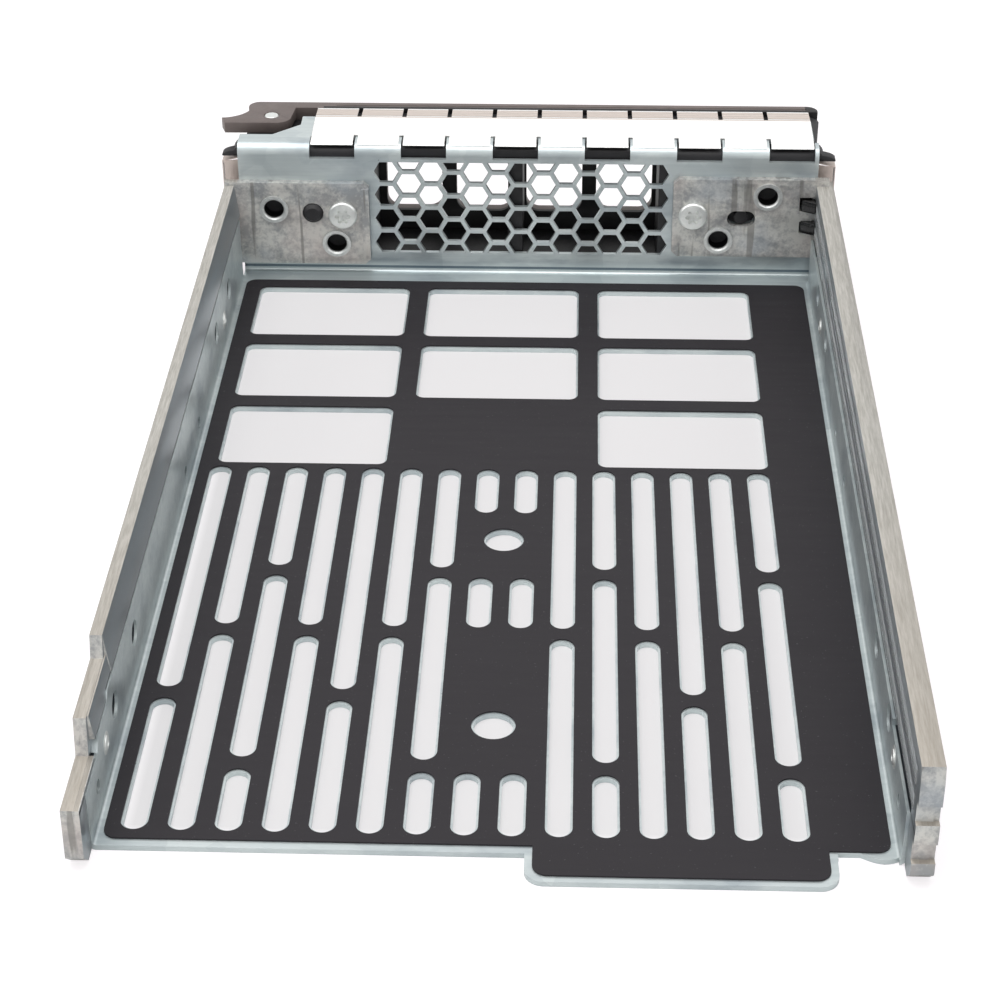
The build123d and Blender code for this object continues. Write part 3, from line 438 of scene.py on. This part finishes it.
def selectOnly(piece):
    bpy.ops.object.select_all(action="DESELECT")
    piece.select_set(True)
    bpy.context.view_layer.objects.active = piece


def editAll(*steps):
    # edit mode operators on the whole active mesh
    bpy.ops.object.mode_set(mode="EDIT")
    for step in steps:
        bpy.ops.mesh.select_all(action="SELECT")
        step()
    bpy.ops.object.mode_set(mode="OBJECT")


def mergeDoubles():
    bpy.ops.mesh.remove_doubles(threshold=0.005 * mm)


def turnOutward():
    bpy.ops.mesh.normals_make_consistent(inside=False)


def applied(piece, kind, **settings):
    # add a modifier, set it and apply it
    step = piece.modifiers.new(kind, kind)
    for key, value in settings.items():
        setattr(step, key, value)
    selectOnly(piece)
    bpy.ops.object.modifier_apply(modifier=step.name)


def meshPiece(name, points, faces):
    # piece from points in millimetres
    mesh = bpy.data.meshes.new(name)
    mesh.from_pydata([[part * mm for part in point] for point in points], [], faces)
    piece = bpy.data.objects.new(name, mesh)
    bpy.context.scene.collection.objects.link(piece)
    selectOnly(piece)
    editAll(turnOutward)
    return piece


def prism(name, axis, low, high, *outline):
    # outline in the other two axes, in their order, pulled along axis
    # made from its points, because after an extrude the rails' booleans differed from run to run
    ring = [[*point[:axis], level, *point[axis:]] for level in (low, high) for point in outline]
    count = len(outline)
    sides = [(i, (i + 1) % count, (i + 1) % count + count, i + count) for i in range(count)]
    return meshPiece(name, ring, [tuple(range(count)), tuple(range(count, 2 * count)), *sides])


def block(name, low, high):
    (x1, y1, z1), (x2, y2, z2) = low, high
    return prism(name, 2, z1, z2, (x1, y1), (x2, y1), (x2, y2), (x1, y2))


def roundCorner():
    # cosine and sine round a quarter circle
    return [(math.cos(math.radians(15 * i)), math.sin(math.radians(15 * i))) for i in range(7)]


def shape(piece, operation, *tools):
    for tool in tools:
        applied(piece, "BOOLEAN", operation=operation, solver="EXACT", object=tool)
        bpy.data.objects.remove(tool)


def cleanCopy(node, name):
    # a copy of a CAD node with its triangles' corners merged
    piece = nodes[node].copy()
    piece.data = nodes[node].data.copy()
    piece.name = name
    piece.parent = None
    bpy.context.scene.collection.objects.link(piece)
    selectOnly(piece)
    bpy.ops.mesh.customdata_custom_splitnormals_clear()
    editAll(mergeDoubles)
    return piece


def soften(piece, width):
    # small rounded edges that catch the light, or only smooth shading where width is 0
    selectOnly(piece)
    if width:
        editAll(mergeDoubles, lambda: bpy.ops.mesh.dissolve_limited(angle_limit=math.radians(1)))
        applied(piece, "BEVEL", width=width * mm, segments=2, limit_method="ANGLE",
                angle_limit=math.radians(50))
    else:
        editAll(mergeDoubles)
    bpy.ops.object.shade_smooth_by_angle(angle=math.radians(35))


def settle(piece, node):
    # material, body and slot of the node that the piece stands for
    paint(piece, materials[slotOf[node]])
    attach(piece, bodyOf[node])
    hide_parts(node)


# Tray: the right flange is lower than the left, and the windows in the fold reach lower

traySet = {"flangeX": (51.3, 52.6), "above": 12.6, "behind": 86.4,         # the cuts reach past the sheet
           "leftStep": ((75.6, 11.2), (77.6, 9.1)),
           "rightFrom": -69.8, "rightHigh": 9.8, "rightStep": 69.6, "rightLow": 8.8,
           "notchX": (-43.6, -46.4), "notchY": 84.75, "bowX": (-46.5, -51.3), "bow": 1.15, "bowPart": 0.8,
           "under": (-0.5, 0.9), "topEdge": ((-52.6, -85.2, 24.7), (-51.5, -75.4, 26.0)),
           "windows": 6, "windowX": -6.45, "windowPitch": 16.4, "windowWidth": 8.1,
           "windowY": (-73.4, -72.0), "windowZ": (23.2, 24.0)}


def trayPiece():
    piece = cleanCopy("tray", "foldedTray")
    inner, outer = traySet["flangeX"]
    above, behind = traySet["above"], traySet["behind"]
    (stepY, stepZ), (endY, endZ) = traySet["leftStep"]
    leftEnd = prism("cut", 0, inner, outer, (stepY, above), (stepY, stepZ), (endY, endZ), (behind, endZ),
                    (behind, above))
    # the floor's rear edge at the right: a notch and a bowed lip
    notch, (near, far) = traySet["notchY"], traySet["notchX"]
    start, end = traySet["bowX"]
    edge = [(near, behind), (near, notch), (far, notch)]
    for i in range(9):
        rise = traySet["bow"] * math.sin(math.pi * traySet["bowPart"] * i / 8)
        edge.append((start + (end - start) * i / 8, notch + rise))
    edge.append((end, behind))
    step = traySet["rightStep"]
    tools = [leftEnd, prism("cut", 2, *traySet["under"], *edge), block("cut", *traySet["topEdge"]),
             block("cut", (-outer, traySet["rightFrom"], traySet["rightHigh"]), (-inner, step, above)),
             block("cut", (-outer, step - 1, traySet["rightLow"]), (-inner, behind, above))]
    half = traySet["windowWidth"] / 2
    (front, rear), (low, high) = traySet["windowY"], traySet["windowZ"]
    for i in range(traySet["windows"]):
        middle = traySet["windowX"] + (i - (traySet["windows"] - 1) / 2) * traySet["windowPitch"]
        tools.append(block("cut", (middle - half, front, low), (middle + half, rear, high)))
    shape(piece, "DIFFERENCE", *tools)
    soften(piece, 0)
    settle(piece, "tray")


trayPiece()
print("tray made")


# Film with rounded corners

filmSet = {"side": 50.5, "ends": ((84.7, 1), (-67.9, -1)), "radius": 1.8, "cutZ": (0.5, 1.5)}


def filmPiece():
    piece = cleanCopy("insulator_film", "floorFilm")
    radius = filmSet["radius"]
    for side in (1, -1):
        for y, end in filmSet["ends"]:
            x = side * filmSet["side"]
            corner = [(x - side * radius * (1 - across), y - end * radius * (1 - along))
                      for across, along in roundCorner()]
            corner = [(x + side, y + end), (x + side, y - end * radius), *corner,
                      (x - side * radius, y + end)]
            shape(piece, "DIFFERENCE", prism("cut", 2, *filmSet["cutZ"], *corner))
    soften(piece, 0)
    settle(piece, "insulator_film")


filmPiece()
print("film made")


# Rails: lips over the flanges, grooves, and their rear ends

leftSet = {"face": 52.3, "inRail": 52.5, "frontY": -71.2, "stepY": 64.6, "endY": 77.6, "lean": 0.72,
           "lipZ": (12.4, 18.3), "stepZ": (11.3, 15.1), "stepFace": 52.1, "endX": (51.6, 52.6), "soft": 0.2,
           "end": ((86.2, 0.2), (88.2, 0.2), (90.35, 2.4), (89.9, 9.75), (79.0, 9.75), (79.0, 9.3),
                   (86.2, 9.3))}


def leftRailPiece():
    piece = cleanCopy("left_rail", "leftRail")
    face, inRail = leftSet["face"], leftSet["inRail"]
    lean = face - leftSet["lean"]
    low, high = leftSet["lipZ"]
    lip = prism("lip", 1, leftSet["frontY"], leftSet["stepY"], (inRail, high), (face, high), (lean, low),
                (inRail, low))
    low, high = leftSet["stepZ"]
    step = prism("lip", 1, leftSet["stepY"], leftSet["endY"], (inRail, high), (leftSet["stepFace"], high),
                 (lean, low), (inRail, low))
    shape(piece, "UNION", lip, step, prism("lip", 0, *leftSet["endX"], *leftSet["end"]))
    soften(piece, leftSet["soft"])
    settle(piece, "left_rail")


rightSet = {"inRail": -52.5, "flangeX": -52.3, "lip": 0.35, "lipY": (-71.2, 90.4), "lipZ": (10.0, 19.3),
            "soft": 0.2, "end": ((86.2, 0.2), (88.2, 0.2), (90.4, 2.4), (90.4, 10.5), (86.2, 10.5)),
            "channels": ((4.25, 7.35), (10.45, 13.45)), "plugX": (-54.95, -54.0), "plugY": (84.4, 89.4),
            "plugOver": 0.2, "notch": 0.85, "grooves": ((10.15, 12.65), (14.3, 16.85)), "grooveX": -53.5,
            "grooveY": (-73.4, 87.4), "cutX": (-55.2, -51.5), "cutY": 91.0,
            "slope": ((89.7, 19.6), (90.5, 16.8), (91.0, 16.8), (91.0, 19.6))}


def rightRailPiece():
    piece = cleanCopy("right_rail", "rightRail")
    inRail, face = rightSet["inRail"], rightSet["flangeX"] + rightSet["lip"]
    (front, rear), (low, high) = rightSet["lipY"], rightSet["lipZ"]
    shape(piece, "UNION", block("lip", (inRail, front, low), (face, rear, high)),
          prism("end", 0, inRail, face, *rightSet["end"]))
    (plugOuter, plugInner), (plugFront, plugRear) = rightSet["plugX"], rightSet["plugY"]
    (outer, inner), over = rightSet["cutX"], rightSet["plugOver"]
    for low, high in rightSet["channels"]:
        plug = block("end", (plugOuter, plugFront, low - over), (plugInner, plugRear, high + over))
        shape(piece, "UNION", plug)
        notch = block("cut", (outer, rear - rightSet["notch"], low), (inner, rightSet["cutY"], high))
        shape(piece, "DIFFERENCE", notch)
    (front, rear), deep = rightSet["grooveY"], rightSet["grooveX"]
    for low, high in rightSet["grooves"]:
        shape(piece, "DIFFERENCE", block("cut", (deep, front, low), (inner, rear, high)))
    shape(piece, "DIFFERENCE", prism("cut", 0, outer, inner, *rightSet["slope"]))
    soften(piece, rightSet["soft"])
    settle(piece, "right_rail")
    paint(piece, rightCast)


leftRailPiece()
rightRailPiece()
print("rails made")


# Light pipes along the right rail, with a short sideways step behind the wall

pipeSet = {"wallX": -50.3, "railX": -52.65, "width": 1.6, "height": 2.3, "endY": (-88.1, 87.3),
           "innerStep": (-70.7, -69.5), "outerStep": (-71.3, -70.2), "soft": 0.15,
           "levels": {"upper_light_pipe": 15.6, "lower_light_pipe": 11.4}}


def pipePieces():
    half, tall = pipeSet["width"] / 2, pipeSet["height"] / 2
    wall, rail = pipeSet["wallX"], pipeSet["railX"]
    front, rear = pipeSet["endY"]
    (innerFront, innerRear), (outerFront, outerRear) = pipeSet["innerStep"], pipeSet["outerStep"]
    outline = ((wall + half, front), (wall + half, innerFront), (rail + half, innerRear), (rail + half, rear),
               (rail - half, rear), (rail - half, outerRear), (wall - half, outerFront), (wall - half, front))
    for node, level in pipeSet["levels"].items():
        piece = prism(node + "_bar", 2, level - tall, level + tall, *outline)
        soften(piece, pipeSet["soft"])
        settle(piece, node)


pipePieces()
print("light pipes made")


# Spring strip: slit fingers in front and on the fold behind

stripSet = {"left": 38.4, "right": -51.3, "firstSlit": 30.45, "pitch": 8.2, "slit": 0.8, "slits": 10,
            "fold": (-74.3, 23.75), "foldRadius": 2.08, "foldFrom": 57, "foldParts": 4, "sheet": 0.15,
            "ridge": (-83.2, 26.33), "front": (-88.0, 25.92), "rearSlit": -76.4, "frontSlit": -83.6}


def stripPiece():
    foldY, foldZ = stripSet["fold"]
    parts, radius = stripSet["foldParts"], stripSet["foldRadius"]
    profile = []
    for i in range(parts + 1):
        turn = math.radians(stripSet["foldFrom"] + (90 - stripSet["foldFrom"]) * i / parts)
        profile.append((foldY + radius * math.cos(turn), foldZ + radius * math.sin(turn)))
    (ridgeY, ridgeZ), (frontY, frontZ) = stripSet["ridge"], stripSet["front"]
    flatY, flatZ = profile[-1]
    rise = (ridgeZ - flatZ) / (ridgeY - flatY)
    fall = (frontZ - ridgeZ) / (frontY - ridgeY)
    profile += [(stripSet["rearSlit"], flatZ + rise * (stripSet["rearSlit"] - flatY)), (ridgeY, ridgeZ),
                (stripSet["frontSlit"], ridgeZ + fall * (stripSet["frontSlit"] - ridgeY)), (frontY, frontZ)]
    columns = [stripSet["left"]]
    for i in range(stripSet["slits"]):
        middle = stripSet["firstSlit"] - i * stripSet["pitch"]
        columns += [middle + stripSet["slit"] / 2, middle - stripSet["slit"] / 2]
    columns.append(stripSet["right"])
    points = [(x, y, z) for x in columns for y, z in profile]
    rows = len(profile)
    whole = (parts + 1, parts + 2)        # these rows, between the rear and front slits, aren't slit
    faces = []
    for column in range(len(columns) - 1):
        for row in range(rows - 1):
            if column % 2 == 0 or row in whole:
                corner = column * rows + row
                faces.append((corner, corner + 1, corner + rows + 1, corner + rows))
    piece = meshPiece("springStrip", points, faces)
    applied(piece, "SOLIDIFY", thickness=stripSet["sheet"] * mm, offset=0)
    bpy.ops.object.shade_smooth_by_angle(angle=math.radians(4))
    settle(piece, "top_emi_strip")


stripPiece()
print("spring strip made")


# Side springs: bowed leaves whose rear edge is folded in, under a rounded cap of the moulding

leafSet = {"foot": 10.8, "low": 12.4, "high": 21.5, "slope": 0.9, "sheet": 0.2, "front": -80.6, "rear": -76.4,
           "foldIn": 0.32, "foldEnd": 0.4, "left": (51.25, 54.9), "right": (-51.75, -55.6)}
capSet = {"front": -78.6, "height": 1.4, "gap": 0.1, "inner": 0.6, "over": 0.1, "soft": 0.2}


def leafPiece(name, node, inner, crest):
    low, high, slope = leafSet["low"], leafSet["high"], leafSet["slope"]
    side = 1 if crest > 0 else -1
    line = [(inner, leafSet["foot"]), (inner, low), (crest, low + slope), (crest, high - slope),
            (inner, high)]
    fold = [(inner, low + leafSet["foldEnd"]), *[(x - side * leafSet["foldIn"], z) for x, z in line[2:4]],
            (inner, high - leafSet["foldEnd"])]
    points = [(x, y, z) for y in (leafSet["front"], leafSet["rear"]) for x, z in line]
    points += [(x, leafSet["rear"], z) for x, z in fold]
    faces = [(i, i + 1, i + 6, i + 5) for i in range(4)] + [(10, 11, 12, 13)]
    piece = meshPiece(name, points, faces)
    applied(piece, "SOLIDIFY", thickness=leafSet["sheet"] * mm, offset=0)
    soften(piece, 0)
    settle(piece, node)
    paint(piece, leafSteel)


def capPiece(name, inner, crest):
    side = 1 if crest > 0 else -1
    reach = crest + side * capSet["over"] - inner
    foot = leafSet["high"] + capSet["gap"]
    rise = capSet["height"] - capSet["gap"]
    outline = [(inner - side * capSet["inner"], foot), (inner - side * capSet["inner"], foot + rise)]
    outline += [(inner + reach * across, foot + rise * up) for up, across in roundCorner()]
    cap = prism(name, 1, capSet["front"], leafSet["rear"], *outline)
    soften(cap, capSet["soft"])
    paint(cap, materials["bezel_black"])
    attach(cap, "caddy")


for side in ("left", "right"):
    leafPiece(side + "Leaf", side + "_emi_spring", *leafSet[side])
    capPiece(side + "LeafCap", *leafSet[side])
print("side springs made")


# Turned pieces: a ring is a radius, the depth of six lobes round it, and a distance outward

def turned(name, node, segments, rings, places):
    # a place is a point, the outward direction and a direction across it
    points, faces = [], []
    for place, out, across in places:
        third = Vector(out).cross(Vector(across))
        first = len(points)
        for radius, lobe, level in rings:
            for i in range(segments):
                turn = 2 * math.pi * i / segments
                reach = radius + lobe * math.cos(6 * turn)
                spot = Vector(across) * math.cos(turn) + third * math.sin(turn)
                points.append(Vector(place) + Vector(out) * level + spot * reach)
        for ring in range(len(rings) - 1):
            for i in range(segments):
                here, there = first + ring * segments, first + (ring + 1) * segments
                faces.append((here + i, here + (i + 1) % segments, there + (i + 1) % segments, there + i))
    piece = meshPiece(name, points, faces)
    editAll(lambda: bpy.ops.mesh.remove_doubles(threshold=0.001 * mm), turnOutward)
    bpy.ops.object.shade_smooth_by_angle(angle=math.radians(32))
    settle(piece, node)


screwSet = {"places": ((32.86, 12.9), (-30.21, 13.44)), "seat": -71.0, "segments": 48,
            "rings": ((0.0, 0, -7.9), (0.75, 0, -7.9), (1.25, 0, -7.4), (1.25, 0, 0.0), (2.5, 0, 0.0),
                      (2.62, 0, 0.4), (2.58, 0, 0.75), (2.35, 0, 1.0), (1.9, 0, 1.12), (1.6, 0, 1.16),
                      (1.22, 0.27, 1.18), (1.08, 0.24, 0.35), (0.5, 0.1, 0.2), (0.0, 0, 0.2))}
turned("bezelScrews", "bezel_screws", screwSet["segments"], screwSet["rings"],
       [((x, screwSet["seat"], z), (0, 1, 0), (1, 0, 0)) for x, z in screwSet["places"]])
print("screws made")

# rivets have a small clinch mark in the flange
rivetSet = {"places": ((-45.0, 5.2), (72.5, 6.6)), "face": 51.5, "radius": 1.6, "segments": 32,
            "mark": ((1.6, 0, 0.03), (1.15, 0, 0.05), (1.05, 0, 0.2), (0.6, 0, 0.28), (0.45, 0, 0.12),
                     (0.0, 0, 0.1)),
            "rows": ((1, "leftRivets", "left_rail_rivets", 2.5),
                     (-1, "rightRivets", "right_rail_rivets", 3.45))}
for side, name, node, length in rivetSet["rows"]:
    rings = ((0.0, 0, -length), (rivetSet["radius"], 0, -length), *rivetSet["mark"])
    turned(name, node, rivetSet["segments"], rings,
           [((side * rivetSet["face"], y, z), (-side, 0, 0), (0, 1, 0)) for y, z in rivetSet["places"]])
print("rivets made")


# Mouldings with soft edges

softSet = {"bezel": ("frontBezel", 0.2), "handle": ("grilleHandle", 0.25), "release_button": ("button", 0.25)}
for node, (name, width) in softSet.items():
    moulding = cleanCopy(node, name)
    soften(moulding, width)
    settle(moulding, node)
print("mouldings made")


# Floor, world, lamps and camera

floorSet = {"grey": 0.9, "rough": 0.9, "size": 3.0, "drop": -0.02, "glow": 1.34, "under": 0.74,
            "tint": (1.0, 0.965, 0.985), "share": 0.55, "shade": ((-50, 50), (-68, 84)), "blur": 3}


def studioFloor():
    # a pale floor that looks white, with a faint shadow under the tray
    bpy.ops.object.select_all(action="DESELECT")
    bpy.ops.mesh.primitive_plane_add(size=floorSet["size"], location=(0, 0, floorSet["drop"] * mm))
    floor = bpy.context.object
    floor.name = "studioFloor"
    g = Graph("studioFloor")
    inside = 1.0
    for axis, (low, high) in enumerate(floorSet["shade"]):
        place, blur = g.height(axis), floorSet["blur"]
        inside = ((place - low) / blur).clamp() * ((high - place) / blur).clamp() * inside
    g.finish(Base_Color=(floorSet["grey"],) * 3, Roughness=floorSet["rough"])
    shaded = tuple(part * floorSet["under"] / floorSet["glow"] for part in floorSet["tint"])
    glow = g.node("ShaderNodeEmission", {}, g.mix(inside, floorSet["tint"], shaded), floorSet["glow"])
    rays = g.tree.nodes.new("ShaderNodeLightPath")
    share = Wire(g, rays.outputs["Is Camera Ray"]) * floorSet["share"]
    mixed = g.node("ShaderNodeMixShader", {}, share, Wire(g, g.shader.outputs[0]), glow)
    g.tree.links.new(mixed.socket, g.tree.nodes["Material Output"].inputs["Surface"])
    floor.data.materials.append(g.material)


worldSet = {"level": 0.5, "seen": 1.0, "sky": ((0.35, 0.3), (0.55, 0.6), (0.75, 1.1))}


def studioWorld():
    # white to the camera, darker near the horizon in reflections
    world = bpy.data.worlds.new("studioWorld")
    bpy.context.scene.world = world
    world.use_nodes = True
    tree = world.node_tree
    rays = tree.nodes.new("ShaderNodeLightPath")
    place = tree.nodes.new("ShaderNodeTexCoord")
    split = tree.nodes.new("ShaderNodeSeparateXYZ")
    up = tree.nodes.new("ShaderNodeMapRange")
    up.inputs["From Min"].default_value = -1.0
    sky = tree.nodes.new("ShaderNodeValToRGB")
    while len(sky.color_ramp.elements) < len(worldSet["sky"]):
        sky.color_ramp.elements.new(0.5)
    for element, (spot, level) in zip(sky.color_ramp.elements, worldSet["sky"]):
        element.position = spot
        element.color = (level, level, level, 1)
    tree.links.new(place.outputs["Generated"], split.inputs[0])
    tree.links.new(split.outputs[2], up.inputs["Value"])
    tree.links.new(up.outputs[0], sky.inputs[0])
    mixes = {}
    before = None
    for ray in ("Is Glossy Ray", "Is Transmission Ray", "Is Camera Ray"):
        mix = mixes[ray] = tree.nodes.new("ShaderNodeMix")
        mix.data_type = "RGBA"
        mix.inputs[6].default_value = (worldSet["level"],) * 3 + (1,)
        mix.inputs[7].default_value = (worldSet["seen"],) * 3 + (1,)
        tree.links.new(rays.outputs[ray], mix.inputs[0])
        if before:
            tree.links.new(before, mix.inputs[6])
        before = mix.outputs[2]
    tree.links.new(sky.outputs[0], mixes["Is Glossy Ray"].inputs[7])
    tree.links.new(before, tree.nodes["Background"].inputs["Color"])


lamps = {
    "overhead": {"place": (0.1, 0.1, 0.9), "size": 0.8, "power": 5.0},
    "leftSide": {"place": (0.8, 0.3, 0.5), "size": 0.5, "power": 1.2},
    "rightSide": {"place": (-0.8, 0.2, 0.5), "size": 0.5, "power": 0.8},
}
lampAim = (0, -0.02, 0.01)


def addLamps():
    for name, lamp in lamps.items():
        data = bpy.data.lights.new(name, "AREA")
        data.size = lamp["size"]
        data.energy = lamp["power"]
        holder = bpy.data.objects.new(name, data)
        bpy.context.scene.collection.objects.link(holder)
        holder.location = lamp["place"]
        holder.rotation_euler = (Vector(lampAim) - Vector(lamp["place"])).to_track_quat("-Z", "Y").to_euler()


# place in millimetres, angles in degrees
cameraSet = {"place": (-9.155, 312.22, 202.65), "down": 33.085, "turn": 182.223, "roll": -0.387,
             "lens": 85.711, "sensor": 36.0, "near": 0.01}


def addCamera():
    data = bpy.data.cameras.new("photoCamera")
    data.sensor_width = cameraSet["sensor"]
    data.lens = cameraSet["lens"]
    data.clip_start = cameraSet["near"]
    camera = bpy.data.objects.new("photoCamera", data)
    bpy.context.scene.collection.objects.link(camera)
    camera.location = Vector(cameraSet["place"]) * mm
    aim = Euler((math.radians(90 - cameraSet["down"]), 0, math.radians(cameraSet["turn"]))).to_matrix()
    roll = Matrix.Rotation(math.radians(cameraSet["roll"]), 3, "Z")
    camera.rotation_euler = (aim @ roll).to_euler()
    bpy.context.scene.camera = camera


studioFloor()
studioWorld()
addLamps()
addCamera()
bpy.context.scene.view_settings.view_transform = "Standard"
print("studio ready")
